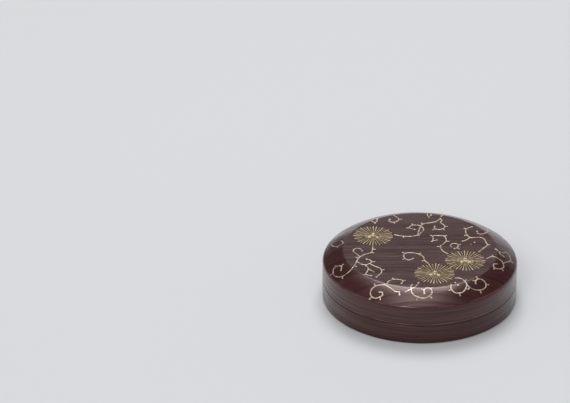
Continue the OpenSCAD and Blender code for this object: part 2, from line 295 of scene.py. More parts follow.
class Finishes(bpy.types.PropertyGroup):
    """Colours and gloss of the lacquer and the gold."""

    lacquer_dark: colour("Lacquer, dark grain", "Lacquer over the dark grain", (0.034, 0.0108, 0.011))
    lacquer_light: colour("Lacquer, light grain", "Lacquer over the light grain", (0.059, 0.018, 0.0172))
    # Thin lacquer on a worn edge, paler than the grain, so that it is also a painted highlight along the
    # shoulder's edge and above the seam
    lacquer_worn_and_sheen: colour("Lacquer, thin", "Lacquer where it is thin on an edge", (0.16, 0.055, 0.05))
    inner_dark: colour("Inner lacquer, dark", "Darkest of the lacquer inside", (0.014, 0.006, 0.006))
    inner_light: colour("Inner lacquer, light", "Palest of the lacquer inside", (0.034, 0.014, 0.013))
    gloss_tint: colour("Gloss tint", "Tint of the lacquer's gloss", (1, 0.72, 0.68))
    gold_thin: colour("Gold, thin", "Gold where the lacquer shows through it", (0.16, 0.1, 0.055))
    gold_deep: colour("Gold, deep", "Gold between its grains", (0.48, 0.366, 0.178))
    gold_pale: colour("Gold, pale", "Gold on its grains", (0.83, 0.707, 0.438))
    gold_worn: colour("Gold, worn", "Gold of every other petal between its grains", (0.25, 0.185, 0.095))
    # Paler gold on the seeds, partly a painted highlight of their domes
    gold_bright: colour("Gold, bright", "Gold on the grains of a flower's seeds", (0.84, 0.735, 0.52))
    vine_deep: colour("Vine, deep", "Gold of a vine between its grains", (0.4, 0.31, 0.2))
    vine_pale: colour("Vine, pale", "Gold of a vine on its grains", (0.71, 0.615, 0.49))
    polish: share("Polish", "Roughness of the lacquer", 0.19)
    gold_metal: share("Gold metal", "How metallic the gold is", 0.6)


class StageSettings(bpy.types.PropertyGroup):
    """Floor, light and camera."""

    backdrop: colour("Backdrop", "Colour of the floor and what lies behind it", (0.693, 0.701, 0.716))
    backdrop_lift: strength("Backdrop lift", "How much brighter the backdrop is in the lacquer's gloss", 0.3)
    softbox_power: strength("Softbox power", "Power of the softbox", 12.9, "POWER")
    softbox_place: position("Softbox place", "Where the softbox hangs behind the box", (0.05, 0.94, 1.77))
    softbox_width: length("Softbox width", "Width of the softbox", 0.98)
    softbox_depth: length("Softbox depth", "Depth of the softbox", 0.9)
    key_power: strength("Key power", "Power of the lamp in front", 8.5, "POWER")
    key_place: position("Key place", "Where the lamp in front stands", (-0.5, -1.55, 1.2))
    key_size: length("Key size", "Width of the lamp in front", 0.6)
    front_level: strength("Front level", "Brightness of the room in front", 0.48)
    back_level: strength("Back level", "Brightness of the room behind", 0.34)
    sweep_level: strength("Sweep level", "Brightness of the backdrop's foot", 0.85)
    dark_level: strength("Dark level", "Brightness of the dark panels", 0.08)
    side_level: strength("Side level", "Brightness of the room's sides", 0.28)
    right_share: share("Right share", "Share of the room's light that is left at the right", 0.35)
    glow_level: strength("Glow level", "Brightness of the ceiling", 2.2)
    camera_place: position(
        "Camera place", "Where the camera stands", (-52.64 * MM, -1128.97 * MM, 645.58 * MM)
    )
    camera_pitch: FloatProperty(
        name="Camera pitch", description="Turn of the camera from straight down", default=math.radians(61.85),
        subtype="ANGLE",
    )
    camera_lens: strength("Focal length", "Focal length of the camera in millimetres", 209.03)


# Modelling helpers


def deselect():
    """Leaves edit mode and deselects everything."""
    if bpy.context.object and bpy.context.object.mode != "OBJECT":
        bpy.ops.object.mode_set(mode="OBJECT")
    bpy.ops.object.select_all(action="DESELECT")


def named(piece, name):
    """Names an object and its data."""
    piece.name = name
    piece.data.name = name
    return piece


def select_where(piece, test):
    """Selects the points in edit mode whose place passes the test, and what lies between them."""
    bpy.ops.mesh.select_mode(type="VERT")
    bpy.ops.mesh.select_all(action="DESELECT")
    shape = bmesh.from_edit_mesh(piece.data)
    for vertex in shape.verts:
        vertex.select = test(vertex.co)
    shape.select_flush_mode()
    bmesh.update_edit_mesh(piece.data)


def near(corner):
    """A test for points at one corner of a section, given as radius and height."""
    place = Vector((corner[0], 0, corner[1]))
    return lambda co: (co - place).length < MERGE


def turned_piece(name, section, rounds, turns):
    """Draws a section point by point, rounds some of its corners and spins it round the box's axis."""
    deselect()
    bpy.ops.mesh.primitive_plane_add(size=MM)
    piece = named(bpy.context.object, name)
    bpy.ops.object.mode_set(mode="EDIT")
    bpy.ops.mesh.merge(type="CENTER")
    bpy.ops.transform.translate(value=(section[0][0], 0, section[0][1]))
    for (from_r, from_z), (to_r, to_z) in zip(section, section[1:]):
        step = (to_r - from_r, 0, to_z - from_z)
        bpy.ops.mesh.extrude_vertices_move(TRANSFORM_OT_translate={"value": step})
    bpy.ops.mesh.select_all(action="SELECT")
    bpy.ops.mesh.remove_doubles(threshold=MERGE)
    for corner, size in rounds:
        select_where(piece, near(corner))
        bpy.ops.mesh.bevel(offset=size, segments=ROUND_STEPS, affect="VERTICES")
    bpy.ops.mesh.select_all(action="SELECT")
    bpy.ops.mesh.spin(steps=turns, angle=math.tau, center=(0, 0, 0), axis=AXIS)
    bpy.ops.mesh.select_all(action="SELECT")
    bpy.ops.mesh.remove_doubles(threshold=MERGE)
    bpy.ops.mesh.normals_make_consistent(inside=False)
    bpy.ops.object.mode_set(mode="OBJECT")
    bpy.ops.object.shade_smooth_by_angle(angle=WOOD_SMOOTH)
    return piece


# How the depth of the grooves changes from one to the next, and with their height in millimetres
GROOVE_TURN = 2.4
GROOVE_DRIFT = 17


def grained_wall(radius, low, high, sizes):
    """Points up a side wall whose grain lines are fine grooves of uneven depth."""
    count = round((high - low) / sizes.ridge_pitch)
    points = []
    for i in range(count + 1):
        z = low + (high - low) * i / count
        groove = (0.5 + 0.5 * math.sin(GROOVE_TURN * i * i + GROOVE_DRIFT * z / MM)) * (i % 2)
        points.append((radius - sizes.ridge_depth * groove, z))
    return points


def dress(piece, body, node, slot, *materials):
    """Gives a piece its materials and says what it rides on and stands for."""
    for material in materials:
        piece.data.materials.append(material)
    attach(piece, body)
    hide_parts(node)


# Material helpers


def add_node(tree, kind, inputs=None, **settings):
    """Adds a shader node, with values or links for its inputs by name or number."""
    item = tree.nodes.new(kind)
    for key, value in settings.items():
        setattr(item, key, value)
    for key, value in (inputs or {}).items():
        if isinstance(value, bpy.types.NodeSocket):
            tree.links.new(value, item.inputs[key])
        else:
            item.inputs[key].default_value = value
    return item


def math_node(tree, operation, *values):
    """Adds a Math node and returns its output."""
    return add_node(tree, "ShaderNodeMath", dict(enumerate(values)), operation=operation).outputs[0]


def map_range(tree, value, low, high, to_low, to_high):
    """Maps a value smoothly from one range to another."""
    inputs = {"Value": value, "From Min": low, "From Max": high, "To Min": to_low, "To Max": to_high}
    return add_node(tree, "ShaderNodeMapRange", inputs, interpolation_type="SMOOTHSTEP").outputs["Result"]


# Numbers of a Mix node's sockets that hold colours
MIX_FIRST, MIX_SECOND, MIX_RESULT = 6, 7, 2


def mix_colour(tree, amount, first, second):
    """Mixes two colours and returns the result's output."""
    first, second = (
        value if isinstance(value, bpy.types.NodeSocket) else (*value, 1) for value in (first, second)
    )
    inputs = {"Factor": amount, MIX_FIRST: first, MIX_SECOND: second}
    return add_node(tree, "ShaderNodeMix", inputs, data_type="RGBA").outputs[MIX_RESULT]


def new_group(name, inputs, outputs):
    """Starts a shader node group and returns its tree, its inputs and its output node."""
    tree = bpy.data.node_groups.new(name, "ShaderNodeTree")
    for label, kind in inputs:
        tree.interface.new_socket(label, in_out="INPUT", socket_type=kind)
    for label in outputs:
        tree.interface.new_socket(label, in_out="OUTPUT", socket_type="NodeSocketFloat")
    return tree, tree.nodes.new("NodeGroupInput").outputs, tree.nodes.new("NodeGroupOutput").inputs


def place_group(tree, group, inputs):
    """Places a node group in a material and returns its outputs."""
    return add_node(tree, "ShaderNodeGroup", inputs, node_tree=group).outputs


def noise(tree, vector, scale, detail=2.0, roughness=0.5, distortion=0.0):
    """Adds a noise texture and returns its value."""
    inputs = {
        "Vector": vector, "Scale": scale, "Detail": detail, "Roughness": roughness, "Distortion": distortion,
    }
    return add_node(tree, "ShaderNodeTexNoise", inputs).outputs["Fac"]


# Scales of the noises: bands and pores on the stretched grain, the others for each metre
BAND_SCALE = 1.0
PORE_SCALE = 3.7
WEAR_SCALE = 140.0
BROAD_SCALE = 60.0
FINE_SCALE = 900.0
POWDER_SCALE = 6000.0
RUB_SCALE = 520.0

# Stretch of the grain along each axis
BOARD_GRAIN = (12, 700, 40)
HOOP_GRAIN = (22, 22, 1500)
BRUSH_GRAIN = (25, 300, 300)

FINE_SHARE = 0.3
LACQUER_IOR = 1.5
LACQUER_BUMP = 0.03 * MM
GOLD_BUMP = 0.02 * MM
# Widths of the paler edge lines: worn lacquer and a painted highlight, along the shoulder's edge and just
# above the seam
EDGE_WEAR_AND_SHEEN = 0.8 * MM
SEAM_WEAR_AND_SHEEN = 0.3 * MM

# Kinds of gold: the colours between its grains and on them, and how far it is rubbed thin
GOLDS = {
    "line_gold": ("gold_deep", "gold_pale", 0.85),
    "worn_gold": ("gold_worn", "gold_deep", 0.85),
    "vine_gold": ("vine_deep", "vine_pale", 0.85),
    # The seeds are rubbed less, so they are paler: partly a painted highlight
    "seed_gold": ("gold_deep", "gold_bright", 0.2),
}


def grain_group():
    """Wood grain along the first axis of its vector: broad growth bands and fine pore lines."""
    tree, given, result = new_group(
        "wood_grain", [("Vector", "NodeSocketVector")], ["Bands", "Pores"]
    )
    bands = noise(tree, given["Vector"], BAND_SCALE, 3.0, 0.6, 0.25)
    pores = noise(tree, given["Vector"], PORE_SCALE, 2.0, 0.55)
    tree.links.new(map_range(tree, bands, 0.34, 0.66, 0.0, 1.0), result["Bands"])
    tree.links.new(map_range(tree, pores, 0.5, 0.68, 0.0, 1.0), result["Pores"])
    return tree


def wear_and_sheen_group():
    """Mask of an edge that runs round the box at a radius and a height, broken up along its length: worn
    lacquer that is also a painted highlight.
    """
    tree, given, result = new_group(
        "edge_wear_and_sheen",
        [
            ("Vector", "NodeSocketVector"), ("Radius", "NodeSocketFloat"), ("Height", "NodeSocketFloat"),
            ("Width", "NodeSocketFloat"),
        ],
        ["Mask"],
    )
    place = add_node(tree, "ShaderNodeSeparateXYZ", {0: given["Vector"]}).outputs
    square = math_node(tree, "MULTIPLY", place["X"], place["X"])
    radius = math_node(tree, "SQRT", math_node(tree, "MULTIPLY_ADD", place["Y"], place["Y"], square))
    off_r = math_node(tree, "SUBTRACT", radius, given["Radius"])
    off_z = math_node(tree, "SUBTRACT", place["Z"], given["Height"])
    square = math_node(tree, "MULTIPLY", off_r, off_r)
    away = math_node(tree, "SQRT", math_node(tree, "MULTIPLY_ADD", off_z, off_z, square))
    away = math_node(tree, "DIVIDE", away, given["Width"])
    patches = map_range(tree, noise(tree, given["Vector"], WEAR_SCALE, 3.0), 0.35, 0.65, 0.1, 0.9)
    tree.links.new(
        math_node(tree, "MULTIPLY", map_range(tree, away, 0.2, 1.0, 1.0, 0.0), patches), result["Mask"]
    )
    return tree


def handling_group():
    """Uneven polish from handling, in soft patches with a fine cloud in them."""
    tree, given, result = new_group("handling", [("Vector", "NodeSocketVector")], ["Haze"])
    broad = map_range(tree, noise(tree, given["Vector"], BROAD_SCALE, 3.0, 0.6), 0.35, 0.7, 0.0, 1.0)
    fine = map_range(tree, noise(tree, given["Vector"], FINE_SCALE, 2.0), 0.4, 0.75, 0.0, 1.0)
    cloud = math_node(tree, "MULTIPLY", broad, 1 - FINE_SHARE)
    tree.links.new(math_node(tree, "MULTIPLY_ADD", fine, FINE_SHARE, cloud), result["Haze"])
    return tree


def shared_group(name):
    """A node group that several materials use, built when it is first asked for."""
    makers = {"wood_grain": grain_group, "edge_wear_and_sheen": wear_and_sheen_group, "handling": handling_group}
    return bpy.data.node_groups.get(name) or makers[name]()


def start_material(name):
    """A new material's tree, its main shader and its object coordinates."""
    material = bpy.data.materials.new(name)
    material.use_nodes = True
    tree = material.node_tree
    place = tree.nodes.new("ShaderNodeTexCoord").outputs["Object"]
    return material, tree, tree.nodes["Principled BSDF"].inputs, place


def bump(tree, height, strength, distance):
    """Turns a height into a bumped normal."""
    inputs = {"Height": height, "Strength": strength, "Distance": distance}
    return add_node(tree, "ShaderNodeBump", inputs).outputs["Normal"]


def lacquered_wood(name, stretch, wear_and_sheen):
    """Lacquer over grain that is stretched along one direction, thin and paler where an edge is worn, which
    also paints the edge's highlight.
    """
    made = bpy.data.materials.get(name)
    if made:
        return made
    finish = bpy.context.scene.incense_box_finishes
    material, tree, shader, place = start_material(name)
    along = add_node(tree, "ShaderNodeMapping", {"Vector": place, "Scale": stretch}).outputs[0]
    grain = place_group(tree, shared_group("wood_grain"), {"Vector": along})
    haze = place_group(tree, shared_group("handling"), {"Vector": place})["Haze"]
    radius, height, width = wear_and_sheen
    worn = place_group(
        tree, shared_group("edge_wear_and_sheen"), {"Vector": place, "Radius": radius, "Height": height, "Width": width}
    )["Mask"]
    tone = math_node(tree, "MULTIPLY_ADD", grain["Pores"], -0.45, grain["Bands"])
    tone = math_node(tree, "MAXIMUM", tone, 0.0)
    base = mix_colour(tree, tone, finish.lacquer_dark, finish.lacquer_light)
    # Paler worn lacquer along the edge, which is also a painted highlight
    base = mix_colour(tree, worn, base, finish.lacquer_worn_and_sheen)
    tree.links.new(base, shader["Base Color"])
    rough = map_range(tree, haze, 0.0, 1.0, finish.polish - 0.03, finish.polish + 0.05)
    tree.links.new(rough, shader["Roughness"])
    ridges = math_node(tree, "MULTIPLY_ADD", grain["Pores"], -0.6, grain["Bands"])
    tree.links.new(bump(tree, ridges, 0.7, LACQUER_BUMP), shader["Normal"])
    tree.links.new(map_range(tree, tone, 0.0, 1.0, 0.05, 0.5), shader["Coat Weight"])
    shader["Coat Roughness"].default_value = finish.polish
    shader["Specular Tint"].default_value = (*finish.gloss_tint, 1)
    shader["IOR"].default_value = LACQUER_IOR
    return material


def board_lacquer():
    """The lid board's lacquer: its grain runs straight from left to right."""
    sizes = bpy.context.scene.incense_box_sizes
    # The shoulder's outer edge: worn lacquer and a painted highlight along it
    wear_and_sheen = (sizes.outer_radius, sizes.edge_height, EDGE_WEAR_AND_SHEEN)
    return lacquered_wood("lacquer_on_board", BOARD_GRAIN, wear_and_sheen)


def hoop_lacquer():
    """The outer hoops' lacquer: their grain runs round the wall."""
    sizes = bpy.context.scene.incense_box_sizes
    # A line just above the seam: worn lacquer and a painted highlight of the seam's rounded edge
    wear_and_sheen = (sizes.outer_radius, HOOP_LOW.z + 2 * sizes.seam_round, SEAM_WEAR_AND_SHEEN)
    return lacquered_wood("lacquer_on_hoop", HOOP_GRAIN, wear_and_sheen)


def inner_lacquer():
    """Plain dark lacquer inside the box, brushed on in one direction."""
    made = bpy.data.materials.get("lacquer_inside")
    if made:
        return made
    finish = bpy.context.scene.incense_box_finishes
    material, tree, shader, place = start_material("lacquer_inside")
    brushed = add_node(tree, "ShaderNodeMapping", {"Vector": place, "Scale": BRUSH_GRAIN}).outputs[0]
    strokes = place_group(tree, shared_group("wood_grain"), {"Vector": brushed})
    haze = place_group(tree, shared_group("handling"), {"Vector": place})["Haze"]
    base = mix_colour(tree, strokes["Bands"], finish.inner_dark, finish.inner_light)
    tree.links.new(base, shader["Base Color"])
    uneven = math_node(tree, "MULTIPLY_ADD", strokes["Bands"], 0.5, math_node(tree, "MULTIPLY", haze, 0.5))
    rough = map_range(tree, uneven, 0.0, 1.0, finish.polish, finish.polish + 0.18)
    tree.links.new(rough, shader["Roughness"])
    tree.links.new(bump(tree, strokes["Bands"], 0.35, LACQUER_BUMP), shader["Normal"])
    shader["Specular Tint"].default_value = (*finish.gloss_tint, 1)
    shader["IOR"].default_value = LACQUER_IOR
    return material


def gold_powder(name):
    """Gold powder on raised lacquer: pale grains over a deeper ground, thin and dull where it is rubbed."""
    made = bpy.data.materials.get(name)
    if made:
        return made
    finish = bpy.context.scene.incense_box_finishes
    ground, grain, thinning = GOLDS[name]
    material, tree, shader, place = start_material(name)
    grains = map_range(tree, noise(tree, place, POWDER_SCALE, 2.0, 0.6), 0.36, 0.6, 0.0, 1.0)
    haze = place_group(tree, shared_group("handling"), {"Vector": place})["Haze"]
    tone = math_node(tree, "MULTIPLY_ADD", haze, -0.3, grains)
    tone = math_node(tree, "MAXIMUM", tone, 0.0)
    base = mix_colour(tree, tone, getattr(finish, ground), getattr(finish, grain))
    rubbed = map_range(tree, noise(tree, place, RUB_SCALE, 2.0, 0.6), 0.48, 0.72, 0.0, thinning)
    tree.links.new(mix_colour(tree, rubbed, base, finish.gold_thin), shader["Base Color"])
    tree.links.new(map_range(tree, haze, 0.0, 1.0, 0.36, 0.5), shader["Roughness"])
    tree.links.new(bump(tree, grains, 0.3, GOLD_BUMP), shader["Normal"])
    shader["Metallic"].default_value = finish.gold_metal
    return material


# Pieces


class INCENSE_OT_lower_box(bpy.types.Operator):
    """Models the floor board, the body hoop and the inner rim of the lower box"""

    bl_idname = "incense_box.lower_box"
    bl_label = "Lower Box"

    def execute(self, context):
        sizes = context.scene.incense_box_sizes
        outer = sizes.outer_radius
        inner = outer - sizes.hoop_thickness
        low, high = BODY_LOW.z, BODY_HIGH.z
        wall = grained_wall(outer, low + sizes.foot_round, high - sizes.seam_round, sizes)
        section = [(inner, low), (outer, low), *wall[1:-1], (outer, high), (inner, high), (inner, low)]
        rounds = [((outer, low), sizes.foot_round), ((outer, high), sizes.seam_round)]
        hoop = turned_piece("body_wall", section, rounds, sizes.turns)
        dress(hoop, "lower_box", "body_hoop", "lacquered_wood", hoop_lacquer())

        outer, inner = RIM_HIGH.x, RIM_HIGH.x - sizes.rim_thickness
        low, high = RIM_LOW.z, RIM_HIGH.z
        section = [(inner, low), (outer, low), (outer, high), (inner, high), (inner, low)]
        rounds = [((outer, high), sizes.seam_round), ((inner, high), sizes.seam_round)]
        rim = turned_piece("inner_rim", section, rounds, sizes.turns)
        dress(rim, "lower_box", "inner_rim_hoop", "inner_lacquer", inner_lacquer())

        radius, low, high = FLOOR_HIGH.x, FLOOR_LOW.z, FLOOR_HIGH.z
        section = [(0, low), (radius, low), (radius, high), (0, high)]
        rounds = [((radius, low), sizes.seam_round)]
        board = turned_piece("floor_board", section, rounds, sizes.turns)
        dress(board, "lower_box", "body_floor_board", "inner_lacquer", inner_lacquer())
        return {"FINISHED"}


# Most that the normal of a wall's face may lean up or down
WALL_LEAN = 0.3


class INCENSE_OT_lid(bpy.types.Operator):
    """Models the lid's hoop and its thick board with the sloping shoulder"""

    bl_idname = "incense_box.lid"
    bl_label = "Lid"

    def execute(self, context):
        sizes = context.scene.incense_box_sizes
        outer = sizes.outer_radius
        inner = outer - sizes.hoop_thickness
        low, high = HOOP_LOW.z, HOOP_HIGH.z
        wall = grained_wall(outer, low + sizes.seam_round, high, sizes)
        section = [(inner, low), (outer, low), *wall[1:-1], (outer, high), (inner, high), (inner, low)]
        hoop = turned_piece("lid_wall", section, [((outer, low), sizes.seam_round)], sizes.turns)
        dress(hoop, "lid", "lid_hoop", "lacquered_wood", hoop_lacquer())

        plug = inner - GLUE_LINE
        under, seat, edge, top = BOARD_LOW.z, HOOP_HIGH.z, sizes.edge_height, BOARD_HIGH.z
        flat = sizes.flat_radius
        shoulder = shoulder_points(sizes)
        section = [
            (0, under), (plug, under), (plug, seat), (outer, seat), (outer, edge),
            *shoulder[1:-1], (flat, top), (flat / 2, top), (0, top),
        ]
        rounds = [((outer, edge), sizes.edge_round), ((flat, top), sizes.crease_round)]
        board = turned_piece("lid_board", section, rounds, sizes.turns)
        dress(board, "lid", "lid_top_board", "lacquered_wood", board_lacquer(), hoop_lacquer())
        for face in board.data.polygons:
            upright = abs(face.normal.z) < WALL_LEAN and face.center.xy.length > plug + MM
            face.material_index = 1 if upright else 0
        return {"FINISHED"}


def shoulder_arc(sizes):
    """Centre and radius of the arc of the shoulder's section."""
    rise = BOARD_HIGH.z - sizes.edge_height
    run = sizes.outer_radius - sizes.flat_radius
    chord = math.hypot(run, rise)
    radius = chord * chord / (8 * sizes.swell) + sizes.swell / 2
    back = (radius - sizes.swell) / chord
    centre_r = (sizes.flat_radius + sizes.outer_radius) / 2 - back * rise
    centre_z = (BOARD_HIGH.z + sizes.edge_height) / 2 - back * run
    return centre_r, centre_z, radius


def shoulder_height(r, sizes):
    """Height of the lid's outside at a distance r from its middle."""
    if r <= sizes.flat_radius:
        return BOARD_HIGH.z
    centre_r, centre_z, radius = shoulder_arc(sizes)
    return centre_z + math.sqrt(radius**2 - (min(r, sizes.outer_radius) - centre_r) ** 2)


def shoulder_points(sizes, steps=16):
    """Points of the shoulder's section from its outer edge up to the flat top."""
    reach = sizes.flat_radius - sizes.outer_radius
    stops = [sizes.outer_radius + reach * i / steps for i in range(steps + 1)]
    return [(r, shoulder_height(r, sizes)) for r in stops]


# Shares of a petal's width that its tip is rounded by, of its root's width that its top is
# narrower on each side, and of the relief that its sides stand upright
TIP_ROUND = 0.3
TOP_INSET = 0.3
SIDE_RISE = 0.5


def petal(root, tip, root_width, width, gold):
    """Adds one petal: a bar that widens outwards, with a blunt tip and a domed top."""
    bottom = BOARD_HIGH.z - gold.sink
    deselect()
    bpy.ops.mesh.primitive_plane_add(size=width, location=(tip - width / 2, 0, bottom))
    bpy.ops.object.transform_apply(location=True)
    piece = bpy.context.object
    bpy.ops.object.mode_set(mode="EDIT")
    select_where(piece, lambda co: co.x < tip - width / 2)
    bpy.ops.mesh.extrude_region_move(TRANSFORM_OT_translate={"value": (root - tip + width, 0, 0)})
    bpy.ops.transform.resize(value=(1, root_width / width, 1), center_override=(root, 0, bottom))
    select_where(piece, lambda co: co.x > tip - width / 4)
    bpy.ops.mesh.bevel(offset=width * TIP_ROUND, segments=2, affect="VERTICES")
    bpy.ops.mesh.select_all(action="SELECT")
    side = gold.relief * SIDE_RISE
    bpy.ops.mesh.extrude_region_move(TRANSFORM_OT_translate={"value": (0, 0, gold.sink + side)})
    bpy.ops.mesh.inset(thickness=root_width * TOP_INSET)
    bpy.ops.transform.translate(value=(0, 0, gold.relief - side))
    bpy.ops.mesh.select_all(action="SELECT")
    bpy.ops.mesh.normals_make_consistent(inside=False)
    return piece


def ring_of_petals(piece, count, turn):
    """Copies a petal round its flower, and leaves edit mode."""
    bpy.ops.mesh.select_all(action="SELECT")
    bpy.ops.transform.rotate(value=turn, orient_axis="Z", center_override=(0, 0, 0))
    share_of_turn = math.tau * (count - 1) / count
    bpy.ops.mesh.spin(
        steps=count - 1, angle=share_of_turn, center=(0, 0, 0), axis=AXIS, dupli=True, use_normal_flip=False
    )
    bpy.ops.object.mode_set(mode="OBJECT")


# A dome's sides, the share of the relief that they stand upright, and its further steps as
# shares of its radius inwards and of the relief upwards
DOME_SIDES = 16
DOME_FOOT = 0.35
DOME_STEPS = ((0.2, 0.4), (0.35, 0.25))


def dome(radius, place, gold):
    """Adds a low dome of gold, and stays in edit mode."""
    deselect()
    lift = BOARD_HIGH.z - gold.sink
    bpy.ops.mesh.primitive_circle_add(
        vertices=DOME_SIDES, radius=radius, fill_type="NGON", location=(0, place, lift)
    )
    bpy.ops.object.transform_apply(location=True)
    piece = bpy.context.object
    bpy.ops.object.mode_set(mode="EDIT")
    bpy.ops.mesh.select_all(action="SELECT")
    foot = gold.sink + gold.relief * DOME_FOOT
    bpy.ops.mesh.extrude_region_move(TRANSFORM_OT_translate={"value": (0, 0, foot)})
    for inset, rise in DOME_STEPS:
        bpy.ops.mesh.inset(thickness=radius * inset)
        bpy.ops.transform.translate(value=(0, 0, gold.relief * rise))
    bpy.ops.mesh.select_all(action="SELECT")
    bpy.ops.mesh.normals_make_consistent(inside=False)
    return piece


SEEDS = 3


class INCENSE_OT_chrysanthemums(bpy.types.Operator):
    """Models one gold chrysanthemum petal by petal and copies it to each flower's place"""

    bl_idname = "incense_box.chrysanthemums"
    bl_label = "Chrysanthemums"

    def execute(self, context):
        gold = context.scene.incense_box_gold
        low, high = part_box("chrysanthemum_front")
        tip = (high.x - low.x) / 2
        turn = math.tau / gold.petals
        parts = []
        for i, reach in enumerate(PETAL_REACH):
            long_ring = petal(gold.petal_root, tip * reach, gold.root_width, gold.petal_width, gold)
            ring_of_petals(long_ring, gold.petals // len(PETAL_REACH), -i * turn)
            parts.append((long_ring, gold_powder("worn_gold" if i % 2 else "line_gold")))
        short_ring = petal(gold.short_root, gold.short_tip, gold.short_root_width, gold.short_width, gold)
        ring_of_petals(short_ring, gold.petals, turn / 2)
        seeds = dome(gold.seed_radius, gold.seed_place, gold)
        ring_of_petals(seeds, SEEDS, 0)
        heart = dome(gold.heart_radius, 0, gold)
        line_gold = gold_powder("line_gold")
        parts += [(short_ring, line_gold), (heart, line_gold), (seeds, gold_powder("seed_gold"))]
        deselect()
        for part, gold_finish in parts:
            part.data.materials.append(gold_finish)
            part.select_set(True)
        context.view_layer.objects.active = long_ring
        bpy.ops.object.join()
        pattern = context.object
        bpy.ops.object.shade_smooth_by_angle(angle=PETAL_SMOOTH)
        for node, flower_turn in FLOWERS.items():
            deselect()
            pattern.select_set(True)
            context.view_layer.objects.active = pattern
            bpy.ops.object.duplicate(linked=False)
            flower = named(context.object, "gold_" + node)
            middle = flower_middle(node)
            bpy.ops.object.mode_set(mode="EDIT")
            bpy.ops.mesh.select_all(action="SELECT")
            angle = math.radians(flower_turn)
            bpy.ops.transform.rotate(value=angle, orient_axis="Z", center_override=(0, 0, 0))
            bpy.ops.transform.translate(value=(middle.x, middle.y, 0))
            bpy.ops.object.mode_set(mode="OBJECT")
            dress(flower, "lid", node, "gold")
        bpy.data.objects.remove(pattern)
        return {"FINISHED"}


# Steps between two places of a stroke, how strongly the curve follows its directions there, and
# the share by which it swells at a place and thins between two
STRETCH_STEPS = 7
CURVE_PULL = 1.1
SWELL = 0.18

# Angles of a bead's outline from its stroke, and how far the stroke stops short of a bead's middle
BEAD_TURNS = (150, 125, 100, 75, 50, 25, 5)
BEAD_CLEAR = 1.05

# Places along a thorn, as shares of its length up to the bead, and its widths there
THORN_STOPS = (0, 0.2, 0.4, 0.6, 1)
THORN_WIDTHS = (1.1, 0.9, 0.85, 0.85, 1)

# Section of a vine above the lacquer, as shares of its half width and its rise
VINE_DOME = ((1, 0.1), (0.8, 0.6), (0.42, 0.92), (0, 1), (-0.42, 0.92), (-0.8, 0.6), (-1, 0.1))
SHORT_STEP = 0.1 * MM


def heading(points, i):
    """Direction of a stroke at its point i, from the points before and after."""
    before = points[max(i, 1)] - points[max(i, 1) - 1]
    after = points[min(i, len(points) - 2) + 1] - points[min(i, len(points) - 2)]
    return (before.normalized() * after.length + after.normalized() * before.length).normalized()


def stroke_path(points):
    """Places along a smooth curve through a stroke's points, and its widths: it swells at each point."""
    path, widths = [], []
    for i, (a, b) in enumerate(zip(points, points[1:])):
        pull = CURVE_PULL * (b - a).length
        u, v = pull * heading(points, i), pull * heading(points, i + 1)
        for step in range(STRETCH_STEPS):
            t = step / STRETCH_STEPS
            s = 1 - t
            path.append(a * s * s * (1 + 2 * t) + u * t * s * s + b * t * t * (3 - 2 * t) - v * t * t * s)
            widths.append(1 + SWELL * math.cos(math.tau * t))
    return path + [points[-1]], widths + [1]


def beaded(path, widths, radius, half_width):
    """A path and its widths with a bead at the end."""
    end, before = path[-1], path[-2]
    onward = (end - before).normalized()
    kept = [(p, w) for p, w in zip(path, widths) if (p - end).length > radius * BEAD_CLEAR]
    path, widths = [p for p, w in kept], [w for p, w in kept]
    for turn in BEAD_TURNS:
        angle = math.radians(turn)
        path.append(end + onward * radius * math.cos(angle))
        widths.append(radius * math.sin(angle) / half_width)
    return path, widths


def lay_stroke(curve, path, widths, sizes):
    """Lays a path on the lid as one spline, its section upright on the lacquer."""
    spline = curve.splines.new("POLY")
    spline.points.add(len(path) - 1)
    for point, place, width in zip(spline.points, path, widths):
        point.co = (place.x, place.y, shoulder_height(place.length, sizes), 1)
        point.radius = width
    spline.use_smooth = True
    for i, point in enumerate(spline.points):
        ahead = Vector(spline.points[min(i + 1, len(path) - 1)].co[:3])
        tangent = (ahead - Vector(spline.points[max(i - 1, 0)].co[:3])).normalized()
        place = path[i]
        reach = max(place.length, MERGE)
        drop = shoulder_height(reach, sizes) - shoulder_height(reach - SHORT_STEP, sizes)
        slope = drop / SHORT_STEP
        normal = Vector((-slope * place.x / reach, -slope * place.y / reach, 1)).normalized()
        up = (Vector(AXIS) - tangent * tangent.z).normalized()
        normal = (normal - tangent * normal.dot(tangent)).normalized()
        point.tilt = math.atan2(up.cross(normal).dot(tangent), up.dot(normal))


def vine_section(gold):
    """Adds the domed section of a vine's line, which reaches the full relief at a bead's width."""
    deselect()
    bpy.ops.curve.primitive_bezier_circle_add(radius=1)
    section = named(bpy.context.object, "vine_section")
    section.data.splines.clear()
    spline = section.data.splines.new("POLY")
    half = gold.vine_width / 2
    rise = gold.relief * half / gold.bead_radius
    outline = [(-half, -gold.sink), (half, -gold.sink), *((x * half, y * rise) for x, y in VINE_DOME)]
    spline.points.add(len(outline) - 1)
    for point, (x, y) in zip(spline.points, outline):
        point.co = (x, y, 0, 1)
    spline.use_cyclic_u = True
    return section


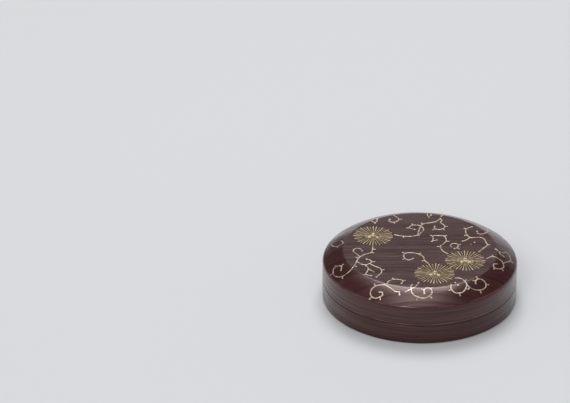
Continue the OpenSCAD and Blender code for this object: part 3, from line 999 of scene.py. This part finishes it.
class INCENSE_OT_vines(bpy.types.Operator):
    """Draws the gold vines on the lid, with their thorns and beads"""

    bl_idname = "incense_box.vines"
    bl_label = "Vines"

    def execute(self, context):
        sizes, gold = context.scene.incense_box_sizes, context.scene.incense_box_gold
        half = gold.vine_width / 2
        section = vine_section(gold)
        for node, strokes in VINES.items():
            deselect()
            bpy.ops.curve.primitive_bezier_curve_add()
            vine = named(context.object, "gold_" + node)
            curve = vine.data
            curve.splines.clear()
            curve.dimensions = "3D"
            curve.twist_mode = "Z_UP"
            curve.bevel_mode = "OBJECT"
            curve.bevel_object = section
            curve.use_fill_caps = True
            for stroke in strokes:
                points = [Vector(p[:2]) * MM for p in stroke]
                if len(points) == 1:
                    points.append(points[0] + Vector((SHORT_STEP, 0)))
                path, widths = beaded(*stroke_path(points), gold.bead_radius, half)
                if len(stroke) == 1:
                    path, widths = path[-len(BEAD_TURNS):], widths[-len(BEAD_TURNS):]
                lay_stroke(curve, path, widths, sizes)
                for i in range(1, len(stroke) - 1):
                    if len(stroke[i]) > 2:
                        way = heading(points, i)
                        left = (points[i] - points[i - 1]).cross(points[i + 1] - points[i]) < 0
                        side = Vector((-way.y, way.x)) * (1 if left else -1)
                        neck = points[i] + side * (gold.thorn_length - gold.thorn_bead)
                        stem = [points[i].lerp(neck, t) for t in THORN_STOPS]
                        lay_stroke(curve, *beaded(stem, THORN_WIDTHS, gold.thorn_bead, half), sizes)
            bpy.ops.object.convert(target="MESH")
            bpy.ops.object.mode_set(mode="EDIT")
            bpy.ops.mesh.select_all(action="SELECT")
            bpy.ops.mesh.remove_doubles(threshold=MERGE)
            bpy.ops.mesh.normals_make_consistent(inside=False)
            bpy.ops.object.mode_set(mode="OBJECT")
            bpy.ops.object.shade_smooth_by_angle(angle=VINE_SMOOTH)
            vine.data.name = vine.name
            dress(vine, "lid", node, "gold", gold_powder("vine_gold"))
        bpy.data.objects.remove(section)
        return {"FINISHED"}


# Stage


FLOOR_SIZE = 8
FLOOR_FADE = (0.12, 0.4)
ROOM_TINT = (0.97, 0.98, 1, 1)
SENSOR_WIDTH = 36
CLIP_END = 20

# Edges of the room's parts by direction: x to the right, y to the back, z up
SWEEP_Z = (0.15, 0.42)
PANEL_FOOT_X = (-0.3, 0.3)
PANEL_FOOT_Z = (-0.12, 0.27)
PANEL_FADE_Z = (0.0, 0.1)
PANEL_MIDDLE_X = 0.06
PANEL_EDGE_X = (0.16, 0.34)
SIDE_X = (0.6, 0.8)
BACK_Y = (-0.2, 0.2)
RIGHT_X = (0.1, 0.7)
GLOW_MIDDLE_X = -0.05
GLOW_REACH_X = (0.0, 0.45)
GLOW_Y = (-0.45, -0.2)
GLOW_Z = (0.6, 0.75)


def floor_material(stage):
    """Pale floor that keeps the box's shadow and runs out into the backdrop's colour."""
    material, tree, shader, place = start_material("pale_floor")
    shader["Base Color"].default_value = (*stage.backdrop, 1)
    shader["Roughness"].default_value = 0.9
    shader["Specular IOR Level"].default_value = 0.0
    away = add_node(tree, "ShaderNodeVectorMath", {0: place}, operation="LENGTH").outputs["Value"]
    far = map_range(tree, away, *FLOOR_FADE, 0.0, 1.0)
    paths = tree.nodes.new("ShaderNodeLightPath").outputs
    seen = math_node(tree, "MAXIMUM", paths["Is Camera Ray"], paths["Is Glossy Ray"])
    level = math_node(tree, "MULTIPLY_ADD", paths["Is Glossy Ray"], stage.backdrop_lift, 1.0)
    backdrop = {"Color": (*stage.backdrop, 1), "Strength": level}
    plain = add_node(tree, "ShaderNodeEmission", backdrop).outputs[0]
    lit = tree.nodes["Principled BSDF"].outputs[0]
    blank = math_node(tree, "MULTIPLY", far, seen)
    mixed = add_node(tree, "ShaderNodeMixShader", {0: blank, 1: lit, 2: plain})
    tree.links.new(mixed.outputs[0], tree.nodes["Material Output"].inputs["Surface"])
    return material


def studio_room(stage):
    """World of soft light, dimmer at the right and with dark panels behind, seen as plain backdrop."""
    world = bpy.data.worlds.new("studio_room")
    bpy.context.scene.world = world
    world.use_nodes = True
    tree = world.node_tree
    direction = tree.nodes.new("ShaderNodeTexCoord").outputs["Generated"]
    way = add_node(tree, "ShaderNodeSeparateXYZ", {0: direction}).outputs
    x, y, z = (way[axis] for axis in "XYZ")
    aside = math_node(tree, "ABSOLUTE", x)
    sweep = map_range(tree, z, *SWEEP_Z, stage.sweep_level, stage.back_level)
    panel_foot = map_range(tree, x, *PANEL_FOOT_X, *PANEL_FOOT_Z)
    above = map_range(tree, math_node(tree, "SUBTRACT", z, panel_foot), *PANEL_FADE_Z, 0.0, 1.0)
    beside = math_node(tree, "ABSOLUTE", math_node(tree, "SUBTRACT", x, PANEL_MIDDLE_X))
    panel = math_node(tree, "MULTIPLY", map_range(tree, beside, *PANEL_EDGE_X, 0.0, 1.0), above)
    behind = map_range(tree, panel, 0.0, 1.0, sweep, stage.dark_level)
    behind = math_node(tree, "ADD", behind, map_range(tree, aside, *SIDE_X, 0.0, stage.side_level))
    level = map_range(tree, y, *BACK_Y, stage.front_level, behind)
    level = math_node(tree, "MULTIPLY", level, map_range(tree, x, *RIGHT_X, 1.0, stage.right_share))
    off_centre = math_node(tree, "ABSOLUTE", math_node(tree, "SUBTRACT", x, GLOW_MIDDLE_X))
    glow = map_range(tree, off_centre, *GLOW_REACH_X, stage.glow_level, 0.0)
    glow = math_node(tree, "MULTIPLY", glow, map_range(tree, y, *GLOW_Y, 0.0, 1.0))
    glow = math_node(tree, "MULTIPLY", glow, map_range(tree, z, *GLOW_Z, 0.0, 1.0))
    level = math_node(tree, "ADD", level, glow)
    room = add_node(tree, "ShaderNodeBackground", {"Color": ROOM_TINT, "Strength": level}).outputs[0]
    plain = add_node(tree, "ShaderNodeBackground", {"Color": (*stage.backdrop, 1)}).outputs[0]
    seen = tree.nodes.new("ShaderNodeLightPath").outputs["Is Camera Ray"]
    mixed = add_node(tree, "ShaderNodeMixShader", {0: seen, 1: room, 2: plain})
    tree.links.new(mixed.outputs[0], tree.nodes["World Output"].inputs["Surface"])


def add_lamp(name, place, size, power):
    """Adds a rectangular lamp that faces the box."""
    deselect()
    bpy.ops.object.light_add(type="AREA", location=place)
    lamp = named(bpy.context.object, name)
    lamp.rotation_euler = Vector(place).to_track_quat("Z", "Y").to_euler()
    lamp.data.shape = "RECTANGLE"
    lamp.data.size, lamp.data.size_y = size
    lamp.data.energy = power
    lamp.visible_camera = False


class INCENSE_OT_stage(bpy.types.Operator):
    """Sets up the pale floor, the soft light and the camera"""

    bl_idname = "incense_box.stage"
    bl_label = "Stage"

    def execute(self, context):
        stage = context.scene.incense_box_stage
        deselect()
        bpy.ops.mesh.primitive_plane_add(size=FLOOR_SIZE)
        floor = named(context.object, "floor")
        floor.data.materials.append(floor_material(stage))
        studio_room(stage)
        softbox_size = (stage.softbox_width, stage.softbox_depth)
        add_lamp("softbox", stage.softbox_place, softbox_size, stage.softbox_power)
        add_lamp("key", stage.key_place, (stage.key_size, stage.key_size), stage.key_power)
        deselect()
        bpy.ops.object.camera_add(location=stage.camera_place, rotation=(stage.camera_pitch, 0, 0))
        camera = named(context.object, "camera")
        camera.data.lens = stage.camera_lens
        camera.data.sensor_width = SENSOR_WIDTH
        camera.data.sensor_fit = "HORIZONTAL"
        camera.data.clip_end = CLIP_END
        context.scene.camera = camera
        context.scene.view_settings.view_transform = "Standard"
        return {"FINISHED"}


class INCENSE_PT_panel(bpy.types.Panel):
    """Lists the steps that make the incense box"""

    bl_label = "Incense Box"
    bl_idname = "INCENSE_PT_panel"
    bl_space_type = "VIEW_3D"
    bl_region_type = "UI"
    bl_category = "Incense Box"

    def draw(self, context):
        for step in STEPS:
            self.layout.operator(step.bl_idname)
        for name in SETTINGS:
            group = getattr(context.scene, name)
            box = self.layout.box()
            for key in group.bl_rna.properties.keys():
                if key not in {"rna_type", "name"}:
                    box.prop(group, key)


STEPS = (
    INCENSE_OT_lower_box,
    INCENSE_OT_lid,
    INCENSE_OT_chrysanthemums,
    INCENSE_OT_vines,
    INCENSE_OT_stage,
)
SETTINGS = {
    "incense_box_sizes": BoxSizes,
    "incense_box_gold": GoldSizes,
    "incense_box_finishes": Finishes,
    "incense_box_stage": StageSettings,
}


def register():
    """Registers the settings, the steps and the panel."""
    for name, group in SETTINGS.items():
        bpy.utils.register_class(group)
        setattr(bpy.types.Scene, name, PointerProperty(type=group))
    for cls in (*STEPS, INCENSE_PT_panel):
        bpy.utils.register_class(cls)


def unregister():
    """Removes what register added."""
    for cls in (INCENSE_PT_panel, *reversed(STEPS)):
        bpy.utils.unregister_class(cls)
    for name, group in SETTINGS.items():
        delattr(bpy.types.Scene, name)
        bpy.utils.unregister_class(group)


def main():
    """Registers the add-on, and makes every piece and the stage."""
    register()
    bpy.ops.incense_box.lower_box()
    bpy.ops.incense_box.lid()
    bpy.ops.incense_box.chrysanthemums()
    bpy.ops.incense_box.vines()
    bpy.ops.incense_box.stage()


if __name__ == "__main__":
    main()
